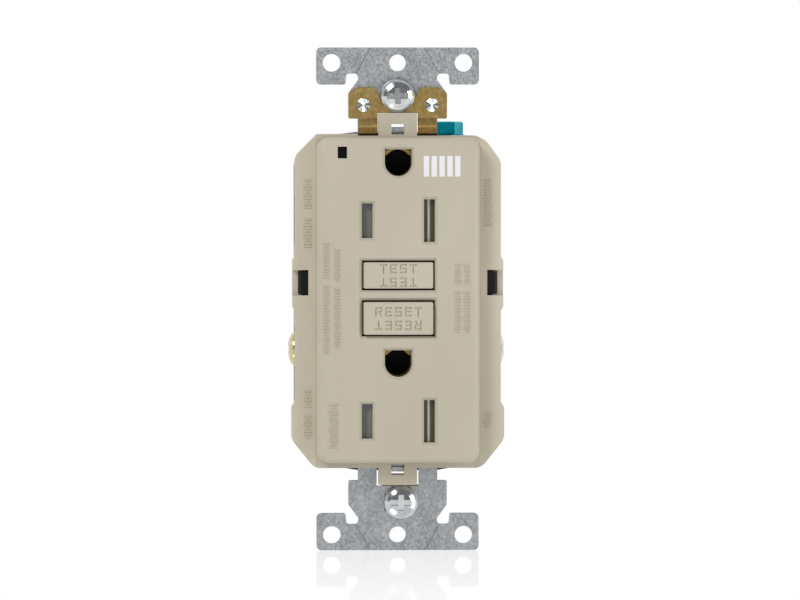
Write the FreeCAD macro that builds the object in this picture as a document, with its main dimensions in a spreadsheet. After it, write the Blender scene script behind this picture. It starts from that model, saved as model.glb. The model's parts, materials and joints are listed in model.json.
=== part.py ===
"""Tamper-resistant GFCI receptacle, drawn as separate pieces in one frame.

Millimetres. X runs to the right as seen from the front, +Z is up and the face looks along -Y.
The origin is the middle of the strap's back face, midway between the two mounting screws, so
Y = 0 is the plane that the strap rests on. The hot side is -X and the neutral side is +X.
"""
import FreeCAD, Part
import Sketcher
import math
import os
import re

os.makedirs("parts", exist_ok=True)
doc = FreeCAD.newDocument("gfci_outlet")

SIZES = {
    # housing, seen from the front
    "housing_half_width": 21.1,
    "housing_half_height": 34.0,
    "housing_wall": 1.6,
    "housing_corner": 2.8,
    "corner_across": 5.0,
    "corner_drop": 5.2,
    "cavity_corner": 4.6,
    "crown": 0.9,
    "base_flare": 0.7,
    "base_flare_top": 20.9,
    "base_drop": 0.5,
    "flange_front": 3.2,
    "flange_wall": 1.6,
    "skirt_back": 2.0,
    "body_back": 25.4,
    # raised face
    "face_half_width": 16.6,
    "face_inset": 0.75,
    "face_front": 7.8,
    "face_wall": 1.8,
    "face_corner": 2.5,
    "face_edge": 1.3,
    # receptacle openings
    "upper_ground": 28.1,
    "receptacle_pitch": 40.95,
    "ground_to_slots": 11.8,
    "blade_offset": 6.35,
    "slot_width": 2.2,
    "hot_slot": 7.1,
    "neutral_slot": 8.7,
    "ground_radius": 2.75,
    "socket_wall": 0.5,
    "rim_bevel": 0.5,
    # buttons
    "button_opening": 7.45,
    "test_middle": 5.15,
    "test_opening": 3.05,
    "reset_middle": -3.6,
    "reset_opening": 3.7,
    "button_gap": 0.36,
    "test_proud": 0.1,
    "reset_proud": 0.7,
    "button_edge": 0.35,
    "button_flange": 0.9,
    "test_travel": 1.2,
    "legend_cap": 1.9,
    "legend_depth": 0.2,
    # indicator window
    "lamp_across": -11.4,
    "lamp_up": 30.2,
    "lamp_half_width": 0.95,
    "lamp_half_height": 1.2,
    # mounting strap
    "strap_thick": 1.2,
    "screw_beyond": 7.65,
    "plate_hole_beyond": 6.75,
    "ear_margin": 3.15,
    "ear_half_width": 16.65,
    "ear_depth": 7.6,
    "ear_inner": 10.65,
    "score_width": 0.3,
    "score_depth": 0.25,
    "ear_corner": 1.0,
    "ear_hole_offset": 13.5,
    "ear_hole_radius": 1.8,
    "plate_hole_radius": 1.7,
    "shoulder_half_width": 10.1,
    "neck_half_width": 8.15,
    "bar_half_width": 3.4,
    "frame_half_width": 10.4,
    "tab_half_width": 3.95,
    "tab_reach": 4.0,
    "tab_gap": 0.35,
    "tab_front": 3.0,
    "window_half_width": 1.3,
    # ground plate, its rivets and the ground screw
    "brass_thick": 0.8,
    "lobe_arc": 3.8,
    "rivet_offset": 7.0,
    "rivet_radius": 1.45,
    "ground_screw_across": 10.0,
    "ground_screw_back": 6.2,
    "ground_head_radius": 4.0,
    "ground_hex_flat": 6.4,
    "ground_shank_radius": 1.75,
    # mounting screws
    "mount_head_radius": 3.55,
    "mount_head_height": 2.1,
    "mount_shank_radius": 1.7,
    "mount_shank_length": 31.0,
    "mount_neck_radius": 1.4,
    "mount_neck_length": 9.0,
    "mount_slot_half_length": 2.7,
    "lower_screw_offset": 0.7,
    "washer_half_width": 4.0,
    "washer_thick": 0.8,
    "washer_stand": 5.0,
    # side terminals
    "line_up": -10.8,
    "load_up": 16.0,
    "terminal_back": 11.0,
    "terminal_inset": 4.1,
    "terminal_plate": 1.2,
    "terminal_half_height": 4.4,
    "clamp_thick": 1.2,
    "clamp_half_height": 4.1,
    "wire_gap": 2.1,
    "side_head_radius": 3.6,
    "side_head_height": 2.1,
    "side_shank_radius": 2.0,
    "side_shank_length": 7.6,
    "wire_hole_radius": 1.3,
    "wire_hole_pitch": 4.6,
    # latches between cover and body
    "latch_middle": 3.5,
    "latch_half_height": 2.6,
    "latch_width": 2.5,
    "lug_bottom": -5.6,
    "lug_top": 10.7,
    "lug_back": 8.0,
    # inner pieces
    "separator_front": 3.0,
    "separator_thick": 1.4,
    "board_front": 13.4,
    "board_thick": 1.6,
    "board_half_width": 13.8,
    "contact_thick": 0.7,
    "blade_thick": 1.5,
    "contact_depth": 4.2,
    "shutter_thick": 1.3,
    "shutter_travel": 2.6,
    "carriage_front": 6.6,
    "carriage_depth": 4.0,
    "carriage_travel": 1.4,
    "latch_plate": 0.8,
    "latch_travel": 1.2,
    "pin_radius": 1.2,
    "pin_length": 18.0,
    "plunger_radius": 1.6,
    "coil_radius": 3.9,
    "frame_sheet": 0.9,
    "coil_length": 12.0,
    "core_radius": 8.0,
    "core_hole": 3.3,
    "core_height": 3.2,
    "conductor_radius": 0.9,
    # clearances
    "running": 0.05,
    "slip": 0.1,
    "loose": 0.3,
}

sheet = doc.addObject("Spreadsheet::Sheet", "Sizes")
for row, (alias, number) in enumerate(SIZES.items(), start=1):
    sheet.set("A%d" % row, alias)
    sheet.set("B%d" % row, str(number))
    sheet.setAlias("B%d" % row, alias)
doc.recompute()

WORD = re.compile(r"[a-z][a-z_]+")


def linked(text):
    """Write a formula of size names as an expression that reads them from the sheet."""
    return WORD.sub(lambda word: "Sizes." + word.group(0) if word.group(0) in SIZES else word.group(0),
                    str(text))


def value(text):
    """The number that a formula of size names gives now."""
    return float(sheet.evalExpression(linked(text)))


def negative(text):
    """The same distance on the other side of the origin."""
    return "-(%s)" % text


# Heights and depths that several pieces share, as formulas of the sizes above.
COVER_TOP = "(housing_half_height - 0.15)"
COVER_TOP_RIGHT = "(housing_half_height - 0.45)"
COVER_FOOT = "(housing_half_height + base_drop)"
FACE_HALF_HEIGHT = "(housing_half_height - face_inset)"
FACE_FRONT = "-(face_front)"
FACE_BACK = "(face_wall - face_front)"
FLANGE_FRONT = "-(flange_front)"
FLANGE_BACK = "(flange_wall - flange_front)"
INNER_HALF_WIDTH = "(housing_half_width - housing_wall)"
INNER_TOP = "(housing_half_height - 0.15 - housing_wall)"
INNER_FOOT = "(housing_half_height + base_drop - housing_wall)"
BODY_FLOOR = "(body_back - housing_wall)"
SCREW_UP = "(housing_half_height + screw_beyond)"
RIVET_UP = "(housing_half_height + screw_beyond - 1.85)"
PLATE_HOLE_UP = "(housing_half_height + screw_beyond + plate_hole_beyond)"
STRAP_END = "(housing_half_height + screw_beyond + plate_hole_beyond + ear_margin)"
STRAP_FRONT = "-(strap_thick)"
BRASS_FRONT = "-(strap_thick + brass_thick)"
TAB_END = "(housing_half_height + tab_reach)"
TERMINAL_FACE = "(housing_half_width - terminal_inset)"
SEPARATOR_BACK = "(separator_front + separator_thick)"
BOARD_BACK = "(board_front + board_thick)"
UPPER_SLOTS = "(upper_ground - ground_to_slots)"
LOWER_GROUND = "(upper_ground - receptacle_pitch)"
LOWER_SLOTS = "(upper_ground - receptacle_pitch - ground_to_slots)"
LATCH_AXIS_BACK = "(carriage_front + 1.8)"
SHUTTER_FRONT = "(face_wall - face_front + slip)"
SHUTTER_BACK = "(face_wall - face_front + slip + shutter_thick)"

PLANE_OF = {"x": "YZ_Plane", "y": "XZ_Plane", "z": "XY_Plane"}
EDGE_TOLERANCE = 1e-4
pieces = []


class Piece:
    """One solid piece, made from sketches and features in a body of its own."""

    def __init__(self, label):
        self.label = label
        self.body = doc.addObject("PartDesign::Body", label)
        self.body.Label = label
        self.count = 0

    def named(self, kind):
        self.count += 1
        return "%s_%s_%d" % (self.label, kind, self.count)

    def sketch(self, axis, height):
        """An empty sketch across the given axis, at the given height along it."""
        sketch = self.body.newObject("Sketcher::SketchObject", self.named("sketch"))
        plane = next(item for item in self.body.Origin.OriginFeatures if item.Role == PLANE_OF[axis])
        sketch.AttachmentSupport = [(plane, "")]
        sketch.MapMode = "FlatFace"
        sketch.setExpression("AttachmentOffset.Base.z", linked(negative(height) if axis == "y" else height))
        return sketch

    def tie(self, sketch, joined, held):
        """Add constraints in one go: joined ones as they are, held ones with their formula."""
        plain = list(joined)
        formulas = []
        for kind, geometry, point, text in held:
            number = value(text)
            if kind == "Radius":
                constraint = Sketcher.Constraint(kind, geometry, number)
            elif abs(number) < 1e-9:
                plain.append(Sketcher.Constraint("PointOnObject", geometry, point,
                                                 -2 if kind == "DistanceX" else -1))
                continue
            else:
                constraint = Sketcher.Constraint(kind, -1, 1, geometry, point, number)
            formulas.append((constraint, text))
        first = sketch.ConstraintCount + len(plain)
        sketch.addConstraint(plain + [constraint for constraint, text in formulas])
        for step, (constraint, text) in enumerate(formulas):
            sketch.setExpression("Constraints[%d]" % (first + step), linked(text))

    def polygon(self, sketch, points):
        """Draw a closed outline through points given as formulas."""
        corners = [FreeCAD.Vector(value(point[0]), value(point[1]), 0) for point in points]
        first = sketch.GeometryCount
        sketch.addGeometry([Part.LineSegment(corner, corners[(index + 1) % len(corners)])
                            for index, corner in enumerate(corners)])
        joined = []
        held = []
        for index, point in enumerate(points):
            after = first + (index + 1) % len(points)
            joined.append(Sketcher.Constraint("Coincident", first + index, 2, after, 1))
            held.append(("DistanceX", first + index, 1, point[0]))
            held.append(("DistanceY", first + index, 1, point[1]))
        self.tie(sketch, joined, held)

    def circle(self, sketch, middle, radius):
        """Draw a circle whose middle and radius are formulas."""
        centre = FreeCAD.Vector(value(middle[0]), value(middle[1]), 0)
        index = sketch.addGeometry(Part.Circle(centre, FreeCAD.Vector(0, 0, 1), value(radius)))
        self.tie(sketch, [], [("DistanceX", index, 3, middle[0]), ("DistanceY", index, 3, middle[1]),
                              ("Radius", index, 0, radius)])

    def extrude(self, axis, span, draw, cut=False, taper=0):
        """Pad or pocket what draw puts in a sketch, from the lower to the upper end of span."""
        low, high = span
        starts_high = (axis == "y") != cut
        sketch = self.sketch(axis, high if starts_high else low)
        draw(sketch)
        feature = self.body.newObject("PartDesign::" + ("Pocket" if cut else "Pad"),
                                      self.named("cut" if cut else "pad"))
        feature.Profile = sketch
        feature.setExpression("Length", linked("(%s) - (%s)" % (high, low)))
        feature.TaperAngle = taper
        before = self.volume()
        doc.recompute()
        if "Invalid" in feature.State:
            raise RuntimeError("%s failed" % feature.Name)
        if cut and not self.volume() < before:
            raise RuntimeError("a cut in %s removes nothing" % self.label)
        return self

    def volume(self):
        shape = self.body.Shape
        return 0.0 if shape.isNull() else shape.Volume

    def plate(self, axis, span, points, cut=False, taper=0):
        """A flat piece or recess with the given outline; a third item in a point rounds that corner."""
        self.extrude(axis, span, lambda sketch: self.polygon(sketch, points), cut, taper)
        radii = sorted({point[2] for point in points if len(point) > 2})
        for radius in radii:
            spots = [(value(point[0]), value(point[1])) for point in points if point[2:] == (radius,)]
            self.round_edges(radius, lambda edge: along(edge, axis, spots, span))
        return self

    def punch(self, axis, span, outlines, circles=(), taper=0):
        """Cut several outlines and circles through in one go."""
        def draw(sketch):
            for outline in outlines:
                self.polygon(sketch, outline)
            for middle, radius in circles:
                self.circle(sketch, middle, radius)
        return self.extrude(axis, span, draw, True, taper)

    def block(self, x, y, z, cut=False, radius=None, taper=0):
        """A box between two formulas on each axis, with its four edges along Y rounded."""
        ends = [(x[0], z[0]), (x[1], z[0]), (x[1], z[1]), (x[0], z[1])]
        points = [end + (radius,) for end in ends] if radius else ends
        return self.plate("y", y, points, cut, taper)

    def rod(self, axis, middle, radius, span, cut=False, taper=0):
        """A round bar or hole along an axis."""
        return self.extrude(axis, span, lambda sketch: self.circle(sketch, middle, radius), cut, taper)

    def turn(self, profile):
        """Turn a profile of (radius, height) points about the body's own Z axis."""
        sketch = self.body.newObject("Sketcher::SketchObject", self.named("sketch"))
        plane = next(item for item in self.body.Origin.OriginFeatures if item.Role == "XZ_Plane")
        sketch.AttachmentSupport = [(plane, "")]
        sketch.MapMode = "FlatFace"
        self.polygon(sketch, profile)
        feature = self.body.newObject("PartDesign::Revolution", self.named("turn"))
        feature.Profile = sketch
        feature.ReferenceAxis = (sketch, ["V_Axis"])
        feature.Angle = 360
        doc.recompute()
        return self

    def round_edges(self, radius, wanted, kind="Fillet"):
        """Fillet or chamfer the edges that the test picks."""
        feature = self.body.Tip
        names = ["Edge%d" % (index + 1) for index, edge in enumerate(feature.Shape.Edges) if wanted(edge)]
        if not names:
            raise RuntimeError("no edge to round in " + self.label)
        dressed = self.body.newObject("PartDesign::" + kind, self.named("edge"))
        dressed.Base = (feature, names)
        dressed.setExpression("Radius" if kind == "Fillet" else "Size", linked(radius))
        doc.recompute()
        if "Invalid" in dressed.State:
            raise RuntimeError("edges of %s can't take %s" % (self.label, radius))
        return self

    def place(self, base, direction=None):
        """Put the piece at three formulas, with its own Z axis turned to a direction."""
        if direction:
            turned = FreeCAD.Rotation(FreeCAD.Vector(0, 0, 1), FreeCAD.Vector(*direction))
            self.body.Placement = FreeCAD.Placement(FreeCAD.Vector(), turned)
        for name, text in zip("xyz", base):
            self.body.setExpression("Placement.Base." + name, linked(text))
        return self

    def done(self):
        pieces.append(self.body)
        return self.body


def along(edge, axis, spots, span):
    """True for a straight edge along the axis that stands on one of the spots, within the span."""
    if len(edge.Vertexes) != 2:
        return False
    start, end = (vertex.Point for vertex in edge.Vertexes)
    order = {"x": "yzx", "y": "xzy", "z": "xyz"}[axis]
    first = [getattr(start, name) for name in order]
    last = [getattr(end, name) for name in order]
    level = abs(first[0] - last[0]) + abs(first[1] - last[1])
    inside = min(first[2], last[2]) > value(span[0]) - 1e-3 and max(first[2],
                                                                    last[2]) < value(span[1]) + 1e-3
    near = any(abs(first[0] - a) + abs(first[1] - b) < 10 * EDGE_TOLERANCE for a, b in spots)
    return level < EDGE_TOLERANCE and inside and near


def in_plane(axis, height):
    """A test for edges that lie in the plane across an axis at a height."""
    def test(edge):
        box = edge.BoundBox
        low = {"x": box.XMin, "y": box.YMin, "z": box.ZMin}[axis]
        high = {"x": box.XMax, "y": box.YMax, "z": box.ZMax}[axis]
        return abs(low - value(height)) < 1e-3 and abs(high - value(height)) < 1e-3
    return test


def mirrored(points):
    """Close a right-hand outline with its mirror image across X = 0."""
    other = [(negative(point[0]),) + tuple(point[1:]) for point in reversed(points)]
    return list(points) + other


def flipped(points):
    """The same outline upside down."""
    return [(point[0], negative(point[1])) + tuple(point[2:]) for point in points]


def rectangle(across, up):
    """A rectangle between two formulas each way."""
    return [(across[0], up[0]), (across[1], up[0]), (across[1], up[1]), (across[0], up[1])]


def cut_corners(half, foot, top):
    """A rectangle across the middle with its corners cut off, for the housing's hollow."""
    return mirrored([
        ("(%s - cavity_corner)" % half, foot),
        (half, "(%s + cavity_corner)" % foot),
        (half, "(%s - cavity_corner)" % top),
        ("(%s - cavity_corner)" % half, top),
    ])


def about(middle, half):
    """A span of formulas about a middle."""
    return "(%s - %s)" % (middle, half), "(%s + %s)" % (middle, half)


def oblong(across, half_width, up, half_height, radius):
    """A rounded rectangle about a middle point."""
    left, right = "(%s - %s)" % (across, half_width), "(%s + %s)" % (across, half_width)
    foot, top = "(%s - %s)" % (up, half_height), "(%s + %s)" % (up, half_height)
    return [(left, foot, radius), (right, foot, radius), (right, top, radius), (left, top, radius)]


def sides():
    """The two sides of the outlet, with their sign and name."""
    return ((-1, "hot"), (1, "neutral"))


def on_side(sign, near, far):
    """A span from near to far, away from the middle, on the given side."""
    if sign > 0:
        return near, far
    return negative(far), negative(near)


# ---------------------------------------------------------------- housing

def cover_outline():
    """The cover's flange: chamfered at top left, rounded elsewhere, flared towards its foot."""
    half = "housing_half_width"
    bump = "(housing_half_width + 0.5)"
    flare = "(housing_half_width + base_flare)"
    right = [
        ("neck_half_width", COVER_TOP_RIGHT),
        ("(housing_half_width - corner_across)", COVER_TOP_RIGHT, "housing_corner"),
        ("(housing_half_width - 0.6 * corner_across)", "(%s - 0.2 * corner_drop)" % COVER_TOP_RIGHT,
         "housing_corner"),
        (half, "(%s - corner_drop)" % COVER_TOP_RIGHT, "housing_corner"),
        (half, "latch_middle + 5.4"),
        (bump, "latch_middle + 4.5"),
        (bump, "latch_middle - 4.9"),
        (half, "latch_middle - 5.8"),
        (half, "-(base_flare_top)"),
        (flare, "-(base_flare_top + 1.2)"),
        (flare, "-(%s - corner_drop - base_flare)" % COVER_FOOT, "housing_corner"),
        ("(housing_half_width - 0.8 * corner_across)", negative(COVER_FOOT), "housing_corner"),
    ]
    left = [(negative(point[0]),) + tuple(point[1:]) for point in reversed(right[4:])]
    chamfer = [
        (negative(half), "(housing_half_height - 0.9 * corner_drop)", "housing_corner"),
        (negative("(housing_half_width - 0.9 * corner_across)"), COVER_TOP, "ear_corner"),
        ("-(neck_half_width)", COVER_TOP),
        ("-(neck_half_width)", COVER_TOP_RIGHT),
    ]
    return right + left + chamfer


def front_cover():
    """Moulded cover: raised face with its openings, flange, skirt, latch windows and end tabs."""
    cover = Piece("front_cover")
    cover.plate("y", (FLANGE_FRONT, "skirt_back"), cover_outline())
    for sign in (-1, 1):
        cover.block(on_side(sign, INNER_HALF_WIDTH, "housing_half_width"), ("skirt_back", "lug_back"),
                    ("lug_bottom", "lug_top"))
    cover.block(("-(face_half_width)", "face_half_width"), (FACE_FRONT, FLANGE_FRONT),
                (negative(FACE_HALF_HEIGHT), FACE_HALF_HEIGHT), radius="face_corner")
    cover.round_edges("face_edge", in_plane("y", FACE_FRONT))
    for sign in (-1, 1):
        ends = on_side(sign, "(housing_half_height - 2)", TAB_END)
        cover.block(("-(tab_half_width)", "tab_half_width"), ("-(tab_front)", "0.8"), ends)
    # the hollow behind the face and behind the flange
    cover.block(("-(face_half_width - face_wall)", "(face_half_width - face_wall)"),
                (FACE_BACK, "skirt_back"),
                ("-(%s - face_wall)" % FACE_HALF_HEIGHT, "(%s - face_wall)" % FACE_HALF_HEIGHT), cut=True)
    cover.plate("y", (FLANGE_BACK, "skirt_back"),
                cut_corners(INNER_HALF_WIDTH, negative(INNER_FOOT), INNER_TOP),
                cut=True)
    # where the strap and the ground legs pass the end walls
    passages = []
    for sign, wall in ((1, INNER_TOP), (-1, INNER_FOOT)):
        near = "(%s - 1)" % wall
        for side in (-1, 1):
            passages.append(rectangle(on_side(side, "tab_half_width", "(neck_half_width + slip)"),
                                      on_side(sign, near, "(housing_half_height + 1)")))
        passages.append(rectangle(("-(tab_half_width)", "tab_half_width"),
                                  on_side(sign, near, "(housing_half_height - 0.2)")))
    cover.punch("y", ("-(strap_thick + slip)", "skirt_back"), passages)
    legs = [rectangle(on_side(side, "tab_half_width", "(neck_half_width + slip)"),
                      ("(%s - 1)" % INNER_TOP, "(housing_half_height + 1)")) for side in (-1, 1)]
    cover.punch("y", ("-(flange_front - 0.1)", "-(strap_thick)"), legs)
    # tab windows, with room behind them for the strap's hooks
    windows = [rectangle(("-(window_half_width)", "window_half_width"),
                         on_side(sign, "(housing_half_height - 0.2)", "(housing_half_height + 1.9)"))
               for sign in (-1, 1)]
    cover.punch("y", ("-(tab_front + 1)", "1"), windows)
    face_openings(cover)
    # latch windows in the flange
    latches = [rectangle(on_side(sign, "(housing_half_width - latch_width - 0.3)",
                                 "(housing_half_width + 1)"),
                         about("latch_middle", "latch_half_height")) for sign in (-1, 1)]
    cover.punch("y", (FLANGE_FRONT, FLANGE_BACK), latches)
    return cover.done()


def face_openings(cover):
    """Blade slots, ground holes, button openings and lamp window, with bevelled rims."""
    openings = [
        ("0", "test_middle", "button_opening", "test_opening"),
        ("0", "reset_middle", "button_opening", "reset_opening"),
    ]
    rounds = []
    for lowered in ("0", "receptacle_pitch"):
        ground = "(upper_ground - %s)" % lowered
        slots = "(upper_ground - ground_to_slots - %s)" % lowered
        openings.append(("-(blade_offset)", slots, "(slot_width / 2)", "(hot_slot / 2)"))
        openings.append(("blade_offset", slots, "(slot_width / 2)", "(neutral_slot / 2)"))
        openings.append(("0", "(%s + ground_radius / 2)" % ground, "ground_radius", "(ground_radius / 2)"))
        rounds.append(("0", ground))

    def outlines(grow):
        return [rectangle(about(across, "(%s + %s)" % (half_width, grow)),
                          about(up, "(%s + %s)" % (half_height, grow)))
                for across, up, half_width, half_height in openings]

    through = (FACE_FRONT, "(%s + 0.1)" % FACE_BACK)
    lamp = rectangle(about("lamp_across", "lamp_half_width"), about("lamp_up", "lamp_half_height"))
    cover.punch("y", through, outlines("0") + [lamp])
    cover.punch("y", through, [], [(middle, "ground_radius") for middle in rounds])
    rim = (FACE_FRONT, "(rim_bevel - face_front)")
    cover.punch("y", rim, outlines("rim_bevel"), taper=-45)
    cover.punch("y", rim, [], [(middle, "(ground_radius + rim_bevel)") for middle in rounds], taper=-45)


def back_body():
    """Moulded body: tub with wire holes, screw pockets, latch arms, and posts for the separator."""
    body = Piece("back_body")
    half = "housing_half_width"
    top = "(housing_half_height - 0.1)"
    foot = "(housing_half_height + base_drop + 0.8)"
    shoulder = "(housing_half_width - 1.1 * corner_across)"
    upper = [
        (half, "(%s - 1.15 * corner_drop)" % top, "housing_corner"),
        (shoulder, "(%s - crown)" % top, "housing_corner"),
        ("neck_half_width", top),
    ]
    lower = [
        ("neck_half_width", negative(foot)),
        (shoulder, "(crown + 0.3 - %s)" % foot, "housing_corner"),
        (half, "(1.3 * corner_drop - %s)" % foot, "housing_corner"),
    ]
    outline = mirrored(lower + upper)
    body.plate("y", ("skirt_back", "body_back"), outline)
    body.round_edges("ear_corner", in_plane("y", "body_back"))
    body.plate("y", ("skirt_back", BODY_FLOOR),
               cut_corners(INNER_HALF_WIDTH, negative(INNER_FOOT), INNER_TOP),
               cut=True)
    # ribs that close the gap behind the strap, at both ends
    for sign, wall in ((1, INNER_TOP), (-1, INNER_FOOT)):
        body.block(("-(tab_half_width)", "tab_half_width"), ("(0.8 + slip)", "(skirt_back + 1)"),
                   on_side(sign, wall, "(housing_half_height - 0.4)"))
    # room for the cover's side lugs, and the arms that latch into its windows
    for sign in (-1, 1):
        body.block(on_side(sign, "(%s - 0.1)" % INNER_HALF_WIDTH, "(housing_half_width + 1)"),
                   ("skirt_back", "(lug_back + slip)"), ("(lug_bottom - slip)",
                                                         "(lug_top + slip)"), cut=True)
        low = "(latch_middle - latch_half_height + loose)"
        high = "(latch_middle + latch_half_height - loose)"
        inner = "(housing_half_width - latch_width - 0.3 + slip)"
        outer = "(%s - 0.1)" % INNER_HALF_WIDTH
        body.block(on_side(sign, inner, outer), ("-(flange_front - 0.3)", "(lug_back + 4)"), (low, high))
        body.block(on_side(sign, inner, "(%s + 0.5)" % INNER_HALF_WIDTH),
                   ("(lug_back + 1)", "(lug_back + 4)"),
                   (low, high))
        nose = [
            (signed(sign, outer), "-(flange_front - 0.3)"),
            (signed(sign, "(%s + 0.35)" % INNER_HALF_WIDTH), "-(flange_front - 0.3)"),
            (signed(sign, "(%s + 0.9)" % INNER_HALF_WIDTH), "(%s - 0.4)" % FLANGE_BACK),
            (signed(sign, "(%s + 0.9)" % INNER_HALF_WIDTH), "(%s - 0.05)" % FLANGE_BACK),
            (signed(sign, outer), "(%s - 0.05)" % FLANGE_BACK),
        ]
        body.plate("z", (low, high), nose)
    # side pockets for the terminal screws and the wire holes behind them
    pockets = []
    wires = []
    for up in ("line_up", "load_up"):
        pockets.append(rectangle(about("terminal_back", "5.6"), about(up, "(terminal_half_height + loose)")))
        for step in (-1, 1):
            wires.append((up, step))
    for sign in (-1, 1):
        body.punch("x", on_side(sign, "(%s - 0.5)" % INNER_HALF_WIDTH, "(housing_half_width + 1)"), pockets)
    across = "(%s + wire_gap / 2)" % TERMINAL_FACE
    body.punch("y", ("(%s - 1)" % BODY_FLOOR, "(body_back + 1)"), [],
               [((signed(sign, across), "(%s + %d * wire_hole_pitch / 2)" % (up, step)), "wire_hole_radius")
                for up, step in wires for sign in (-1, 1)])
    # notch in the top wall for the ground terminal and its screw
    body.block(("(ground_screw_across - ground_head_radius - 0.5)",
                "(ground_screw_across + ground_head_radius + 0.5)"),
               ("(skirt_back - 1)", "(ground_screw_back + ground_head_radius + 0.5)"),
               ("(%s - 0.6)" % INNER_TOP, "(%s + 3)" % INNER_TOP), cut=True)
    # corner posts that carry the separator
    for sign in (-1, 1):
        for up in (1, -1):
            body.rod("y", (signed(sign, "(%s - 2.6)" % INNER_HALF_WIDTH),
                           signed(up, "(housing_half_height - 4.9)")),
                     "1.9", (SEPARATOR_BACK, "(%s + 0.5)" % BODY_FLOOR))
    return body.done()


def signed(sign, text):
    """A formula, or its opposite when the sign is negative."""
    return text if sign > 0 else negative(text)


# ---------------------------------------------------------------- strap and grounding

def strap_half():
    """The right-hand outline of the strap's upper half, from its end down to the buttons."""
    ear_foot = "(%s - ear_depth)" % STRAP_END
    floor = "(%s - 5.35)" % STRAP_END
    return [
        ("ear_half_width", STRAP_END, "ear_corner"),
        ("ear_half_width", ear_foot, "ear_corner"),
        ("ear_inner", ear_foot, "0.5"),
        ("(ear_inner - 0.15)", floor, "0.6"),
        ("(neck_half_width + 0.15)", floor, "0.6"),
        ("(neck_half_width - 0.15)", "(%s - 6.5)" % STRAP_END, "0.6"),
        ("shoulder_half_width", "(%s + 0.55)" % SCREW_UP, "ear_corner"),
        ("shoulder_half_width", "(%s - 4.45)" % SCREW_UP, "0.4"),
        ("neck_half_width", "(%s - 4.45)" % SCREW_UP),
    ]


def ear_score(side, sign):
    """The slanted groove along which one ear can be broken off."""
    foot = "(%s - 5.35 - score_width)" % STRAP_END
    end = "(%s + score_width)" % STRAP_END
    near, far = "(neck_half_width + 0.4)", "(neck_half_width - 2.9)"
    corners = [(near, foot), ("(%s + score_width)" % near, foot), ("(%s + score_width)" % far, end),
               (far, end)]
    return [(signed(side, across), signed(sign, up)) for across, up in corners]


def mounting_strap():
    """Stamped steel strap: ears, screw slots, end notches with hooks, and a frame round the buttons."""
    strap = Piece("mounting_strap")
    thick = (STRAP_FRONT, "0")
    upper = strap_half() + [
        ("neck_half_width", "(%s + 7.2)" % UPPER_SLOTS),
        ("bar_half_width", "(%s + 7.2)" % UPPER_SLOTS),
        ("bar_half_width", "(%s - 5.6)" % UPPER_SLOTS),
        ("frame_half_width", "(%s - 5.6)" % UPPER_SLOTS),
    ]
    lower = flipped(strap_half()) + [
        ("neck_half_width", "(%s - 6.4)" % LOWER_SLOTS),
        ("bar_half_width", "(%s - 6.4)" % LOWER_SLOTS),
        ("bar_half_width", "(%s + 6)" % LOWER_SLOTS),
        ("(bar_half_width + 2.6)", "(%s + 6)" % LOWER_SLOTS),
        ("(bar_half_width + 2.6)", "(%s + 3.6)" % LOWER_GROUND),
        ("frame_half_width", "(%s + 3.6)" % LOWER_GROUND),
    ]
    strap.plate("y", thick, mirrored(upper + list(reversed(lower))))
    openings = [rectangle(("-(button_opening + 0.6)", "(button_opening + 0.6)"),
                          ("(reset_middle - reset_opening - 0.7)", "(test_middle + test_opening + 0.7)"))]
    sleeve = "(ground_radius + socket_wall + slip)"
    circles = [(("0", "upper_ground"), sleeve), (("0", LOWER_GROUND), sleeve)]
    notches = []
    for sign in (-1, 1):
        notch = "(%s + tab_gap)" % TAB_END
        hook_end = "(housing_half_height + 1.3)"
        outer = "(tab_half_width + tab_gap)"
        inner = "(window_half_width - slip)"
        half = [(inner, "(housing_half_height - 1)"), (outer, "(housing_half_height - 1)"), (outer, notch)]
        back = [(negative(outer), notch), (negative(outer), "(housing_half_height - 1)"),
                (negative(inner), "(housing_half_height - 1)"), (negative(inner), hook_end),
                (inner, hook_end)]
        notches.append([(point[0], signed(sign, point[1])) for point in half + back])
        up = signed(sign, SCREW_UP)
        openings.append(rectangle(("-(mount_slot_half_length)", "mount_slot_half_length"),
                                  about(up, "(mount_shank_radius + slip)")))
        for side in (-1, 1):
            circles.append(((signed(side, "ear_hole_offset"), signed(sign, PLATE_HOLE_UP)),
                            "ear_hole_radius"))
    circles += [((signed(side, "rivet_offset"), RIVET_UP), "(rivet_radius - 0.45)") for side in (-1, 1)]
    strap.punch("y", thick, openings + notches, circles)
    scores = [ear_score(side, sign) for side in (-1, 1) for sign in (-1, 1)]
    strap.punch("y", (STRAP_FRONT, "(score_depth - strap_thick)"), scores)
    strap.punch("y", ("-(0.4 * score_depth)", "0"), scores)
    for sign in (-1, 1):
        strap.block(("-(window_half_width - slip)", "(window_half_width - slip)"),
                    ("-(strap_thick + 1)", "-(0.2)"),
                    on_side(sign, "(housing_half_height + 0.4)", "(housing_half_height + 1.3)"))
        strap.rod("y", ("0", signed(sign, PLATE_HOLE_UP)), "(plate_hole_radius + 0.6)", ("-(0.5)", "0.9"))
    strap.punch("y", ("-(strap_thick + 1)", "2"), [],
                [(("0", signed(sign, PLATE_HOLE_UP)), "plate_hole_radius") for sign in (-1, 1)])
    return strap.done()


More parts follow.
